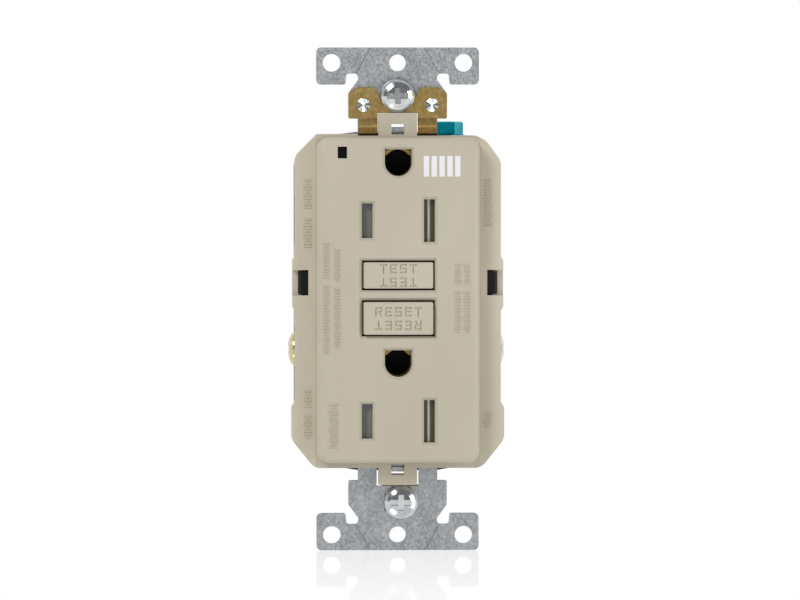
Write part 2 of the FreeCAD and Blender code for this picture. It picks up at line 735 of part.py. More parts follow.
def ground_plate():
    """Brass plate on the strap's top end, with two legs into the housing and the upper ground contact."""
    plate = Piece("ground_plate")
    face = (BRASS_FRONT, STRAP_FRONT)
    low = "(%s - 4.65)" % SCREW_UP
    leg_out = "(neck_half_width - 0.15)"
    leg_in = "(tab_half_width + 0.15)"
    bridge = "(%s + slip)" % TAB_END
    half = [
        (leg_in, bridge),
        (leg_in, low),
        ("shoulder_half_width", low, "0.4"),
        ("shoulder_half_width", "(%s + 0.5)" % SCREW_UP, "0.8"),
        ("(shoulder_half_width - 1.7)", "(%s + 1.75)" % SCREW_UP, "0.8"),
        ("(lobe_arc + 0.9)", "(%s + 1.75)" % SCREW_UP, "1"),
        ("lobe_arc", "%s" % SCREW_UP, "2.2"),
        ("(lobe_arc - 0.7)", "(%s - 2.3)" % SCREW_UP, "1"),
    ]
    plate.plate("y", face, mirrored(half))
    plate.punch("y", face, [], [((signed(sign, "rivet_offset"), RIVET_UP),
                                 "(rivet_radius - 0.45)") for sign in (-1, 1)])
    bent = "(strap_thick + 2 * brass_thick)"
    end = "(upper_ground + 2)"
    for sign in (-1, 1):
        leg = [
            (STRAP_FRONT, "(%s + 0.6)" % low),
            (BRASS_FRONT, "(%s + 0.6)" % low),
            (BRASS_FRONT, low, "0.5"),
            (negative(bent), "(%s - 1.3)" % low, "0.7"),
            (negative(bent), end),
            (BRASS_FRONT, end),
            (BRASS_FRONT, "(%s - 1.7)" % low, "0.7"),
            (STRAP_FRONT, "(%s - 0.4)" % low, "0.5"),
        ]
        plate.plate("x", on_side(sign, leg_in, leg_out), leg)
    plate.block((negative(leg_out), leg_out), (negative(bent), BRASS_FRONT),
                ("(upper_ground - 2)", "(upper_ground + 2.4)"))
    ground_socket(plate, "upper_ground", bent)
    return plate.done()


def ground_socket(piece, up, front):
    """The sleeve that takes the round ground pin of a plug."""
    bore = "(ground_radius - slip)"
    through = (negative("(%s + 1)" % front), "separator_front")
    piece.rod("y", ("0", up), "(ground_radius + socket_wall)", (negative(front), "(separator_front - 0.6)"))
    piece.rod("y", ("0", up), bore, through, cut=True)
    piece.block((negative(bore), bore), through, (up, "(%s + %s - 1.1)" % (up, bore)), cut=True,
                radius="0.4")
    piece.block(("-(0.4)", "0.4"), (negative("(%s - 1)" % front), "3"), ("(%s - 4)" % up, up), cut=True)


def lower_ground_contact():
    """Brass contact staked on the strap behind the lower ground hole."""
    contact = Piece("lower_ground_contact")
    front = "(strap_thick + brass_thick)"
    contact.block(("-(bar_half_width + 2)", "(bar_half_width + 2)"), (negative(front), STRAP_FRONT),
                  ("(%s - 3.8)" % LOWER_GROUND, "(%s + 3.1)" % LOWER_GROUND), radius="0.8")
    ground_socket(contact, LOWER_GROUND, front)
    return contact.done()


def strap_rivets():
    """Two star-staked rivets that hold the ground plate on the strap."""
    made = []
    for index, sign in enumerate((-1, 1)):
        rivet = Piece("strap_rivet_%d" % index)
        head = "0.5"
        rivet.turn([
            ("0", "-(brass_thick + strap_thick)"),
            ("(rivet_radius - 0.45)", "-(brass_thick + strap_thick)"),
            ("(rivet_radius - 0.45)", "0"),
            ("rivet_radius", "0"),
            ("(rivet_radius - 0.1)", head),
            ("0", head),
        ])
        for turn in range(2):
            star_groove(rivet, turn, head)
        rivet.place((signed(sign, "rivet_offset"), BRASS_FRONT, RIVET_UP), (0, -1, 0))
        made.append(rivet.body)
    return group("strap_rivets", made)


def star_groove(rivet, turn, head):
    """One groove of the staking star across a rivet's head."""
    reach, half = "(rivet_radius - 0.2)", "0.14"
    across, up = (reach, half) if turn else (half, reach)
    rivet.plate("z", ("(%s - 0.25)" % head, head),
                rectangle((negative(across), across), (negative(up), up)), cut=True)


def group(label, shapes):
    """Several separate solids that share one node."""
    together = doc.addObject("Part::Compound", label)
    together.Label = label
    together.Links = shapes
    doc.recompute()
    pieces.append(together)
    return together


def ground_terminal():
    """Brass tab behind the strap that the ground screw threads into."""
    tab = Piece("ground_terminal")
    left = "(ground_screw_across - ground_head_radius - 0.2)"
    right = "(ground_screw_across + ground_head_radius + 0.2)"
    back = "(ground_screw_back + ground_head_radius)"
    z = ("(%s - 0.5)" % INNER_TOP, "(%s + 0.6)" % INNER_TOP)
    tab.block((left, right), ("(skirt_back + 0.2)", back), z)
    tab.block((left, "neck_half_width"), ("0", "(skirt_back + 0.5)"), z)
    tab.rod("z", ("ground_screw_across", "ground_screw_back"), "(ground_shank_radius + running)",
            ("(%s - 2)" % INNER_TOP, "(%s + 2)" % INNER_TOP), cut=True)
    return tab.done()


def ground_screw():
    """Green hex ground screw with a washer face, standing upright in the ground terminal."""
    screw = Piece("ground_screw")
    screw.turn([
        ("0", "-(4.4)"),
        ("ground_shank_radius", "-(4.4)"),
        ("ground_shank_radius", "0"),
        ("ground_head_radius", "0"),
        ("ground_head_radius", "0.7"),
        ("(ground_hex_flat / 2)", "0.9"),
        ("0", "0.9"),
    ])
    corner = value("ground_hex_flat") / math.sqrt(3)
    corners = [("(ground_hex_flat * %.6f)" % (math.cos(math.radians(60 * step)) / math.sqrt(3)),
                "(ground_hex_flat * %.6f)" % (math.sin(math.radians(60 * step)) / math.sqrt(3)))
               for step in range(6)]
    screw.plate("z", ("0.5", "3.4"), corners)
    screw.round_edges("0.3", in_plane("z", "3.4"), kind="Chamfer")
    screw.plate("z", ("2.6", "3.4"), [("-(%.4f)" % (0.8 * corner), "-(0.5)"),
                                      ("%.4f" % (0.8 * corner), "-(0.5)"),
                                      ("%.4f" % (0.8 * corner), "0.5"), ("-(%.4f)" % (0.8 * corner),
                                                                         "0.5")], cut=True)
    screw.place(("ground_screw_across", "ground_screw_back", "(%s + 0.6 + running)" % INNER_TOP))
    return screw.done()


# ---------------------------------------------------------------- screws

def drive_recess(screw, radius, top, depth, straight=True):
    """A combination drive: a cross and one long slot."""
    for across, up in ((0.62, 0.16), (0.16, 0.45)) if straight else ((0.45, 0.16), (0.16, 0.45)):
        a = "(%s * %.3f)" % (radius, across)
        b = "(%s * %.3f)" % (radius, up)
        screw.plate("z", ("(%s - %s)" % (top, depth), "(%s + 0.2)" % top),
                    [(negative(a), negative(b)), (a, negative(b)), (a, b), (negative(a), b)], cut=True)


def round_head_screw(label, head_radius, head_height, shank_radius, shank_length, tip, neck=()):
    """A screw along its own Z axis, with the underside of its oval head at the origin.

    The neck is the undercut below the head, as (radius, height) points from the thread up to the head.
    """
    screw = Piece(label)
    steps = 5
    dome = []
    for step in range(steps + 1):
        angle = math.radians(90.0 * step / steps)
        dome.append(("(%s * %.5f)" % (head_radius, math.cos(angle)),
                     "(0.5 + (%s - 0.5) * %.5f)" % (head_height, math.sin(angle))))
    dome[-1] = ("0", "%s" % head_height)
    screw.turn([
        ("0", "-(%s)" % shank_length),
        ("(%s - %s)" % (shank_radius, tip), "-(%s)" % shank_length),
        (shank_radius, "(%s - %s)" % (tip, shank_length)),
    ] + list(neck or [(shank_radius, "0")]) + [(head_radius, "0")] + dome)
    drive_recess(screw, head_radius, head_height, "(%s * 0.45)" % head_height)
    return screw


def mounting_screws():
    """The two long screws that fasten the outlet to its wall box."""
    brass = "(strap_thick + brass_thick)"
    neck = [
        ("mount_shank_radius", "-(mount_neck_length)"),
        ("mount_neck_radius", "(mount_shank_radius - mount_neck_radius - mount_neck_length)"),
        ("mount_neck_radius", "0"),
    ]
    for sign, name, offset, seat in ((1, "top", "0", brass),
                                     (-1, "bottom", "lower_screw_offset", "strap_thick")):
        screw = round_head_screw("mounting_screw_" + name, "mount_head_radius", "mount_head_height",
                                 "mount_shank_radius", "mount_shank_length", "0.6", neck)
        screw.place((offset, "-(%s + running)" % seat, signed(sign, SCREW_UP)), (0, -1, 0))
        screw.done()
        washer = Piece("retaining_washer_" + name)
        half = "washer_half_width"
        front = "washer_stand"
        up = signed(sign, SCREW_UP)
        washer.block(("(%s - %s)" % (offset, half), "(%s + %s)" % (offset, half)),
                     (front, "(washer_stand + washer_thick)"),
                     ("(%s - %s * 0.8)" % (up, half), "(%s + %s * 0.8)" % (up, half)), radius="0.8")
        washer.rod("y", (offset, up), "(mount_neck_radius + running)",
                   ("(washer_stand - 1)", "(washer_stand + washer_thick + 1)"), cut=True)
        washer.done()


def side_terminals():
    """Four screw terminals: a fixed brass plate, a captive pressure plate and its screw."""
    for sign, side in sides():
        for up, end, out in (("line_up", "line", "wire_gap"), ("load_up", "load", "running")):
            name = "%s_%s" % (end, side)
            face = TERMINAL_FACE
            fixed = Piece(name + "_terminal")
            fixed.plate("x", on_side(sign, "(%s - terminal_plate)" % face, face),
                        oblong("terminal_back", "5.2", up, "terminal_half_height", "0.8"))
            foot_reach = "(%s - 3.6)" % face
            fixed.block(on_side(sign, foot_reach, "(%s - 0.5)" % face),
                        ("(terminal_back - 5.2)", "(terminal_back - 4.2)"),
                        ("(%s - 2)" % up, "(%s + 2)" % up))
            fixed.rod("x", ("terminal_back", up), "(side_shank_radius + running)",
                      on_side(sign, "(%s - 3)" % face, "(%s + 1)" % face), cut=True)
            fixed.done()
            clamp = Piece(name + "_clamp")
            clamp_in = "(%s + %s)" % (face, out)
            clamp_out = "(%s + %s + clamp_thick)" % (face, out)
            clamp.plate("x", on_side(sign, clamp_in, clamp_out),
                        oblong("terminal_back", "4.6", up, "clamp_half_height", "0.6"))
            clamp.rod("x", ("terminal_back", up), "(side_shank_radius + running)",
                      on_side(sign, "(%s - 3)" % clamp_in, "(%s + 3)" % clamp_out), cut=True)
            clamp.done()
            screw = round_head_screw(name + "_screw", "side_head_radius", "side_head_height",
                                     "side_shank_radius", "side_shank_length", "0.5")
            screw.place((signed(sign, "(%s + running)" % clamp_out), "terminal_back", up), (sign, 0, 0))
            screw.done()


# ---------------------------------------------------------------- buttons

GLYPHS = {
    "T": [[(0, 1), (1, 1), (1, 0.82), (0.59, 0.82), (0.59, 0), (0.41, 0), (0.41, 0.82), (0, 0.82)]],
    "E": [[(0, 0), (1, 0), (1, 0.18), (0.2, 0.18), (0.2, 0.41), (0.85, 0.41), (0.85, 0.59), (0.2, 0.59),
           (0.2, 0.82), (1, 0.82), (1, 1), (0, 1)]],
    "S": [[(0, 0), (1, 0), (1, 0.59), (0.2, 0.59), (0.2, 0.82), (1, 0.82), (1, 1), (0, 1), (0, 0.41),
           (0.8, 0.41), (0.8, 0.18), (0, 0.18)]],
    "R": [[(0, 0), (0.2, 0), (0.2, 0.4), (0.45, 0.4), (0.78, 0), (1, 0), (0.7, 0.4), (1, 0.4), (1, 1),
           (0, 1)],
          [(0.2, 0.58), (0.2, 0.82), (0.8, 0.82), (0.8, 0.58)]],
}


def legend(word, up, front, turned):
    """Cutters for one line of block letters, sunk from the front by the legend's depth."""
    cap = value("legend_cap")
    wide = cap * 0.72
    step = cap * 1.06
    start = -(step * (len(word) - 1) + wide) / 2
    depth = FreeCAD.Vector(0, value("legend_depth"), 0)
    cutters = []
    for index, letter in enumerate(word):
        faces = []
        for loop in GLYPHS[letter]:
            points = []
            for across, height in loop:
                x = start + index * step + across * wide
                z = height * cap - cap / 2
                if turned:
                    x, z = -x, -z
                points.append(FreeCAD.Vector(x, front, up + z))
            points.append(points[0])
            faces.append(Part.Face(Part.makePolygon(points)))
        outline = faces[0]
        for counter in faces[1:]:
            outline = outline.cut(counter)
        cutters.append(outline.extrude(depth))
    return cutters


def button(label, middle, half_opening, proud, word):
    """A moulded push button: cap, retaining flange, stem, and its legend in both directions."""
    cap = Piece(label + "_cap")
    half_width = "(button_opening - button_gap)"
    half_height = "(%s - button_gap)" % half_opening
    front = "-(face_front + %s)" % proud
    flange_front = "(%s + slip)" % FACE_BACK
    cap.block((negative(half_width), half_width), (front, "(%s + 1.0)" % flange_front),
              ("(%s - %s)" % (middle, half_height), "(%s + %s)" % (middle, half_height)), radius="0.4")
    cap.round_edges("button_edge", in_plane("y", front))
    cap.block(("-(%s + button_flange)" % half_width, "(%s + button_flange)" % half_width),
              (flange_front, "(%s + 1.0)" % flange_front),
              ("(%s - %s)" % (middle, half_height), "(%s + %s)" % (middle, half_height)))
    cap.block(("-(2.4)", "2.4"), ("(%s + 0.9)" % flange_front, "-(0.8)"),
              ("(%s - 1.8)" % middle, "(%s + 1.8)" % middle))
    if word == "RESET":
        cap.rod("y", ("0", middle), "pin_radius", ("(%s + 1.2)" % flange_front, "0"), cut=True)
    row = value("legend_cap") * 0.73
    rows = legend(word, value(middle) + row, value(front), False)
    rows += legend(word, value(middle) - row, value(front), True)
    cutter = doc.addObject("Part::Feature", label + "_legend")
    cutter.Shape = Part.makeCompound(rows)
    finished = doc.addObject("Part::Cut", label)
    finished.Label = label
    finished.Base = cap.body
    finished.Tool = cutter
    doc.recompute()
    pieces.append(finished)


def reset_pin():
    """Steel pin pressed into the reset button, with the groove that the latch plate catches."""
    pin = Piece("reset_pin")
    length = "pin_length"
    pin.turn([
        ("0", "-(%s)" % length),
        ("0.5", "-(%s)" % length),
        ("pin_radius", "(1.2 - %s)" % length),
        ("pin_radius", "(4 - %s)" % length),
        ("(pin_radius - 0.35)", "(4 - %s)" % length),
        ("(pin_radius - 0.35)", "(5.4 - %s)" % length),
        ("pin_radius", "(5.4 - %s)" % length),
        ("pin_radius", "0"),
        ("0", "0"),
    ])
    pin.place(("0", "(%s + slip + 1.2)" % FACE_BACK, "reset_middle"), (0, -1, 0))
    return pin.done()


def coil(label, middle, front, back, radius, wire, turns):
    """A helical spring along Y, swept as one eight-sided wire."""
    length = value(back) - value(front) - 2 * wire
    pitch = length / turns
    helix = Part.makeHelix(pitch, length, value(radius))
    start = FreeCAD.Vector(value(radius), 0, 0)
    corners = [start + FreeCAD.Vector(wire * math.cos(math.pi * step / 4), 0, wire * math.sin(math.pi * step / 4))
               for step in range(9)]
    section = Part.makePolygon(corners)
    shape = Part.Wire(helix).makePipeShell([section], True, True)
    spring = doc.addObject("Part::Feature", label)
    spring.Shape = shape
    spring.Label = label
    spring.Placement = FreeCAD.Placement(
        FreeCAD.Vector(value(middle[0]), value(front) + wire, value(middle[1])),
        FreeCAD.Rotation(FreeCAD.Vector(1, 0, 0), -90))
    pieces.append(spring)


def test_switch():
    """Phosphor-bronze blade under the test button that closes the test circuit."""
    blade = Piece("test_switch_blade")
    back = "(test_travel + 0.6)"
    blade.block(("-(6.4)", "-(1.6)"), (back, "(%s + 0.4)" % back),
                ("(test_middle - 1.2)", "(test_middle + 1.2)"))
    blade.block(("-(6.4)", "-(6)"), (back, "separator_front"),
                ("(test_middle - 1.2)", "(test_middle + 1.2)"))
    blade.block(("-(1.9)", "1.2"), (back, "(%s + 0.4)" % back),
                ("(test_middle - 0.9)", "(test_middle + 0.9)"))
    return blade.done()


# ---------------------------------------------------------------- inner pieces

def shutters():
    """Sliding shutters behind the blade slots, each with its frame and return spring."""
    for up, name in ((UPPER_SLOTS, "upper"), (LOWER_SLOTS, "lower")):
        low = "(%s - neutral_slot / 2 - 0.5)" % up
        high = "(%s + neutral_slot / 2 + 0.5)" % up
        slider = Piece(name + "_shutter")
        slider.block(("-(blade_offset + slot_width / 2 + 0.3)", "(blade_offset + slot_width / 2 + 0.6)"),
                     (SHUTTER_FRONT, SHUTTER_BACK), (low, high), radius="0.3")
        slider.block(("(blade_offset - shutter_travel - slot_width / 2 - 0.1)",
                      "(blade_offset - shutter_travel + slot_width / 2 + 0.1)"),
                     ("(%s - 1)" % SHUTTER_FRONT, "(%s + 1)" % SHUTTER_BACK),
                     ("(%s - neutral_slot / 2 - 0.1)" % up, "(%s + neutral_slot / 2 + 0.1)" % up), cut=True)
        slider.done()
        frame = Piece(name + "_shutter_frame")
        front = "(%s + running)" % SHUTTER_BACK
        back = "(%s + running + 1.3)" % SHUTTER_BACK
        half = "(face_half_width - face_wall - slip)"
        frame.block((negative(half), half), (front, back), ("(%s - 0.6)" % low, "(%s + 0.6)" % high))
        for side in (-1, 1):
            frame.block(on_side(side, "(%s - 1)" % half, half), ("(%s + slip)" % FACE_BACK, back),
                        ("(%s - 0.6)" % low, "(%s + 0.6)" % high))
            frame.block(on_side(side, "(blade_offset - slot_width / 2)", "(blade_offset + slot_width / 2)"),
                        ("(%s - 1)" % front, "(%s + 1)" % back), (low, high), cut=True)
        frame.done()


def separator():
    """Moulded separator between the face contacts and the electronics."""
    plate = Piece("separator")
    half = "(%s - slip)" % INNER_HALF_WIDTH
    inner = "(%s - terminal_plate - 1)" % TERMINAL_FACE
    step = "(housing_half_height - 7.5)"
    plate.plate("y", ("separator_front", SEPARATOR_BACK), mirrored([
        ("(%s - cavity_corner)" % half, "(%s - 0.8)" % INNER_TOP),
        (half, "(%s - 0.8 - cavity_corner)" % INNER_TOP),
        (half, step),
        (inner, step),
        (inner, negative(step)),
        (half, negative(step)),
        (half, "(slip - %s + cavity_corner)" % INNER_FOOT),
        ("(%s - cavity_corner)" % half, "(slip - %s)" % INNER_FOOT),
    ]))
    span = ("(separator_front - 1)", "(%s + 1)" % SEPARATOR_BACK)
    for up in (UPPER_SLOTS, LOWER_SLOTS):
        for side in (-1, 1):
            plate.block(on_side(side, "(blade_offset - 2.2)", "(blade_offset + 2.2)"), span,
                        ("(%s - 4.2)" % up, "(%s + 4.2)" % up), cut=True)
    plate.rod("y", ("0", "reset_middle"), "(pin_radius + 1.2)", span, cut=True)
    plate.rod("y", ("lamp_across", "lamp_up"), "1.5", span, cut=True)
    for side in (-1, 1):
        plate.block(on_side(side, "(frame_half_width - 2.6)", "(frame_half_width + 0.4)"), span,
                    ("(reset_middle - 3)", "(reset_middle + 3)"), cut=True)
        for up in (1, -1):
            plate.rod("y", (signed(side, "(board_half_width - 1.6)"),
                            signed(up, "(housing_half_height - 6.6)")), "1.2",
                      ("(%s - 0.5)" % SEPARATOR_BACK, "board_front"))
    return plate.done()


def face_contacts():
    """Hot and neutral contact strips, each with two blade grips and a tail with a silver tip."""
    for sign, side in sides():
        strip = Piece(side + "_face_contacts")
        grip = "(blade_thick / 2 + contact_thick)"
        back = "contact_depth"
        for up in (UPPER_SLOTS, LOWER_SLOTS):
            z = ("(%s - 3.4)" % up, "(%s + 3.4)" % up)
            strip.block(on_side(sign, "(blade_offset - %s)" % grip, "(blade_offset + %s)" % grip),
                        ("-(0.9)", back), z)
            strip.block(on_side(sign, "(blade_offset - blade_thick / 2)",
                                "(blade_offset + blade_thick / 2)"),
                        ("-(2)", "(contact_depth - contact_thick)"), z, cut=True)
        outer = "(blade_offset + %s)" % grip
        rail = on_side(sign, "(%s - contact_thick)" % outer, "(frame_half_width - 0.2)")
        strip.block(rail, ("(separator_front - contact_thick)", "separator_front"),
                    ("(%s - 3.4)" % LOWER_SLOTS, "(%s + 3.4)" % UPPER_SLOTS))
        tail = on_side(sign, "(frame_half_width - 2)", "(frame_half_width - 0.2)")
        strip.block(tail, ("(separator_front - contact_thick)", "(%s + 0.2)" % SEPARATOR_BACK),
                    ("(reset_middle - 2)", "(reset_middle + 2)"))
        strip.done()


def carriage():
    """Moulded latch block that carries the moving contacts, with a slot for the latch plate."""
    block = Piece("contact_carriage")
    front = "carriage_front"
    back = "(carriage_front + carriage_depth)"
    block.block(("-(frame_half_width + 0.6)", "(frame_half_width + 0.6)"), (front, back),
                ("(reset_middle - 3.4)", "(reset_middle + 3.4)"), radius="0.6")
    block.block(("-(2.7)", "2.7"), ("(%s - latch_plate / 2 - running)" % LATCH_AXIS_BACK,
                                    "(%s + latch_plate / 2 + running)" % LATCH_AXIS_BACK),
                ("(reset_middle - 4)", "(reset_middle + 4)"), cut=True)
    block.rod("y", ("0", "reset_middle"), "(pin_radius + slip)",
              ("(carriage_front - 1)", "(%s + 1)" % back), cut=True)
    block.done()
    arms = []
    for sign, side in sides():
        arm = Piece("moving_contact_" + side)
        arm.block(on_side(sign, "(frame_half_width - 2.2)", "(frame_half_width + 0.4)"),
                  ("(carriage_front - 0.6)", "carriage_front"),
                  ("(reset_middle - 3)", "(reset_middle + 3)"))
        arm.rod("y", (signed(sign, "(frame_half_width - 1.1)"), "reset_middle"), "0.9",
                ("(%s + 0.2 + carriage_travel + running)" % SEPARATOR_BACK, "(carriage_front - 0.3)"))
        arms.append(arm.body)
    group("moving_contacts", arms)
    plate = Piece("latch_slide")
    plate.block(("-(2.6)", "2.6"), ("(%s - latch_plate / 2)" % LATCH_AXIS_BACK,
                                    "(%s + latch_plate / 2)" % LATCH_AXIS_BACK),
                ("(reset_middle - 4.4)", "(reset_middle + 5.2)"))
    plate.block(("-(pin_radius + slip)", "(pin_radius + slip)"), ("carriage_front", "(carriage_front + 4)"),
                ("(reset_middle - pin_radius - slip)",
                 "(reset_middle + pin_radius + slip + latch_travel)"), cut=True)
    plate.done()


def solenoid():
    """Trip solenoid: bobbin, winding, steel frame and plunger, on an axis along Z."""
    low = "(reset_middle + 14.2)"
    high = "(%s + coil_length)" % low
    axis = ("0", LATCH_AXIS_BACK)
    bobbin = Piece("solenoid_bobbin")
    bobbin.rod("z", axis, "(plunger_radius + 0.9)", (low, high))
    for foot in (low, "(%s - 0.8)" % high):
        bobbin.rod("z", axis, "coil_radius", (foot, "(%s + 0.8)" % foot))
    bobbin.rod("z", axis, "(plunger_radius + slip)", ("(%s - 1)" % low, "(%s + 1)" % high), cut=True)
    bobbin.done()
    winding = Piece("solenoid_winding")
    winding.rod("z", axis, "(coil_radius - 0.4)", ("(%s + 0.8)" % low, "(%s - 0.8)" % high))
    winding.rod("z", axis, "(plunger_radius + 0.9)", (low, high), cut=True)
    winding.done()
    frame = Piece("solenoid_frame")
    back = "(%s + coil_radius + 0.1)" % LATCH_AXIS_BACK
    arm_front = "(%s - 2.4)" % LATCH_AXIS_BACK
    frame.block(("-(4)", "4"), (back, "(%s + frame_sheet)" % back),
                ("(%s - frame_sheet)" % low, "(%s + frame_sheet)" % high))
    for foot in ("(%s - frame_sheet)" % low, high):
        frame.block(("-(4)", "4"), (arm_front, "(%s + 0.5)" % back), (foot, "(%s + frame_sheet)" % foot))
    frame.rod("z", axis, "(plunger_radius + slip)", ("(%s - 2)" % low, "(%s + 0.5)" % low), cut=True)
    frame.done()
    plunger = Piece("solenoid_plunger")
    plunger.rod("z", axis, "plunger_radius", ("(%s - 4)" % low, "(%s + 7)" % low))
    plunger.rod("z", axis, "(plunger_radius * 0.5)", ("(reset_middle + 5.2 + running)", "(%s - 3.5)" % low))
    plunger.done()


def transformers():
    """Two toroidal current transformers in their shell, with the line conductors through them."""
    middle = ("0", "-(20.5)")
    first = "(%s + 0.4)" % BOARD_BACK
    second = "(%s + core_height + 0.5)" % first
    for label, front in (("sense_core", first), ("grounded_neutral_core", second)):
        ring = Piece(label)
        ring.rod("y", middle, "core_radius", (front, "(%s + core_height)" % front))
        ring.rod("y", middle, "core_hole", ("(%s - 1)" % front, "(%s + core_height + 1)" % front), cut=True)
        ring.round_edges("0.6", in_plane("y", front))
        ring.round_edges("0.6", in_plane("y", "(%s + core_height)" % front))
        ring.done()
    spool = Piece("transformer_spool")
    spool.rod("y", middle, "(core_hole - slip)", (BOARD_BACK, "(%s + core_height + 0.3)" % second))
    spool.rod("y", middle, "(core_hole + 1)", (BOARD_BACK, "(%s - slip)" % first))
    spool.rod("y", middle, "(core_hole - 0.7)",
              ("(%s - 1)" % BOARD_BACK, "(%s + core_height + 1)" % second), cut=True)
    spool.done()
    rods = []
    for sign, side in sides():
        rod = Piece("line_conductor_" + side)
        rod.rod("y", (signed(sign, "(conductor_radius + 0.3)"), middle[1]), "conductor_radius",
                (BOARD_BACK, "(%s + core_height + 1.2)" % second))
        rods.append(rod.body)
    group("line_conductors", rods)


def circuit_board():
    """Glass-epoxy board that carries the electronics."""
    board = Piece("circuit_board")
    half = "board_half_width"
    edge = "(housing_half_height - 3.2)"
    board.block((negative(half), half), ("board_front", BOARD_BACK), (negative(edge), "(%s - 0.4)" % edge),
                radius="1.2")
    board.rod("y", ("0", "reset_middle"), "(pin_radius + 0.8)",
              ("(board_front - 1)", "(%s + 1)" % BOARD_BACK), cut=True)
    board.done()


def components():
    """Board components behind the board, and the indicator lamp in front of it."""
    back = BOARD_BACK
    chip = Piece("control_chip")
    chip.block(("-(3.2)", "3.2"), (back, "(%s + 3)" % back), ("2.6", "9.6"), radius="0.3")
    chip.done()
    thyristor = Piece("thyristor")
    thyristor.rod("y", ("8.6", "6"), "2.3", (back, "(%s + 4.8)" % back))
    thyristor.block(("6", "11.4"), ("(%s - 1)" % back, "(%s + 6)" % back), ("7.6", "9"), cut=True)
    thyristor.done()
    varistor = Piece("varistor")
    varistor.rod("z", ("-(8)", "(%s + 4)" % back), "3.8", ("14.8", "18"))
    varistor.block(("-(9)", "-(7)"), (back, "(%s + 1.5)" % back), ("15.8", "17"))
    varistor.done()
    capacitors = []
    for index, (across, up) in enumerate((("8", "17"), ("-(8.6)", "4.4"))):
        can = Piece("capacitor_%d" % index)
        can.rod("y", (across, up), "2.8", (back, "(%s + 6.4)" % back))
        can.round_edges("0.4", in_plane("y", "(%s + 6.4)" % back))
        capacitors.append(can.body)
    group("capacitors", capacitors)
    film = Piece("film_capacitor")
    film.block(("-(4.2)", "4.2"), (back, "(%s + 6)" % back), ("13.4", "17.2"), radius="0.8")
    film.done()
    for label, radius, half, spots in (
            ("resistors", "0.9", "2", (("-(4.5)", "22"), ("1.5", "22"), ("7.5", "22"),
                                       ("-(9.8)", "-(6.6)"))),
            ("diodes", "1.1", "1.8", (("-(4.5)", "26"), ("1.5", "26"), ("7.5", "26"), ("9.8", "-(6.6)")))):
        leads = []
        for index, (across, up) in enumerate(spots):
            part = Piece("%s_%d" % (label[:-1], index))
            part.rod("x", ("(%s + %s)" % (back, radius), up), radius,
                     ("(%s - %s)" % (across, half), "(%s + %s)" % (across, half)))
            leads.append(part.body)
        group(label, leads)
    lamp = Piece("status_lamp")
    lamp.rod("y", ("lamp_across", "lamp_up"), "0.9", ("(board_front - 3)", "board_front"))
    lamp.done()
    pipe = Piece("light_pipe")
    pipe.block(("(lamp_across - lamp_half_width + slip)", "(lamp_across + lamp_half_width - slip)"),
               ("-(face_front - 0.4)", "-(face_front - 4)"),
               ("(lamp_up - lamp_half_height + slip)", "(lamp_up + lamp_half_height - slip)"))
    pipe.rod("y", ("lamp_across", "lamp_up"), "0.8", ("-(face_front - 3.5)", "(board_front - 3.1)"))
    pipe.done()


front_cover()
back_body()
mounting_strap()
ground_plate()
lower_ground_contact()
strap_rivets()
ground_terminal()
ground_screw()
mounting_screws()
side_terminals()
button("test_button", "test_middle", "test_opening", "test_proud", "TEST")
button("reset_button", "reset_middle", "reset_opening", "reset_proud", "RESET")
reset_pin()
test_switch()
coil("reset_spring", ("0", "reset_middle"), "(-0.7)", "2.6", "(pin_radius + 0.6)", 0.2, 3)
shutters()
separator()
face_contacts()
carriage()
solenoid()
transformers()
circuit_board()
components()

# ---------------------------------------------------------------- output

doc.recompute()
for item in doc.Objects:
    if "Invalid" in item.State or "Error" in item.State:
        raise RuntimeError("%s did not rebuild: %s" % (item.Label, item.State))
for piece in pieces:
    if piece.Shape.isNull() or not piece.Shape.isValid():
        raise RuntimeError("%s has no valid shape" % piece.Label)
for piece in pieces:
    piece.Shape.exportStep("parts/%s.step" % piece.Label)
print("%d pieces" % len(pieces))
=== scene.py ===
"""Looks of a tamper-resistant ground-fault receptacle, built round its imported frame. Metres, +Z up, face along -Y."""
import json
import math

import bmesh
import bpy
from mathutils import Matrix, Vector


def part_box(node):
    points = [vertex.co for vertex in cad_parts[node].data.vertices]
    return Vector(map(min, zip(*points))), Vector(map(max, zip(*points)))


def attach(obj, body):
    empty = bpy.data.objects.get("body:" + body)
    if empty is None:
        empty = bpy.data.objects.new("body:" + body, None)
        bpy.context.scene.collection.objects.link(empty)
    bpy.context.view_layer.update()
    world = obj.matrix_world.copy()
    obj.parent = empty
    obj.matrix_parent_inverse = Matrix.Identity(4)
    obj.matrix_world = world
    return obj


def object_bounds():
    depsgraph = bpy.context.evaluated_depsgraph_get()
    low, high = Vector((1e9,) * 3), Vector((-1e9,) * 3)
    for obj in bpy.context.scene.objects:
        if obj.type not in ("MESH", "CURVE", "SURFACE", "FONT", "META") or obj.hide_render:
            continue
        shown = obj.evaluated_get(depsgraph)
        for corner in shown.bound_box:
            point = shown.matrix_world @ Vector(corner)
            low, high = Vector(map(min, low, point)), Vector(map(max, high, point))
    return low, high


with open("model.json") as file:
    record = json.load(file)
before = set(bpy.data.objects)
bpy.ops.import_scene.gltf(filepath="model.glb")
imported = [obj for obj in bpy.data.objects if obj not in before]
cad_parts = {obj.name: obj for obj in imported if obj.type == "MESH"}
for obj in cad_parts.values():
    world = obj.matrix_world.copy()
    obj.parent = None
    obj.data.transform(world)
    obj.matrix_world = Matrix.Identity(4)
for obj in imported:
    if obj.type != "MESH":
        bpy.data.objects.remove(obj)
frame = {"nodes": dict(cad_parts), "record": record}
cad_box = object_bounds()
nodes = frame["nodes"]
MM = 0.001


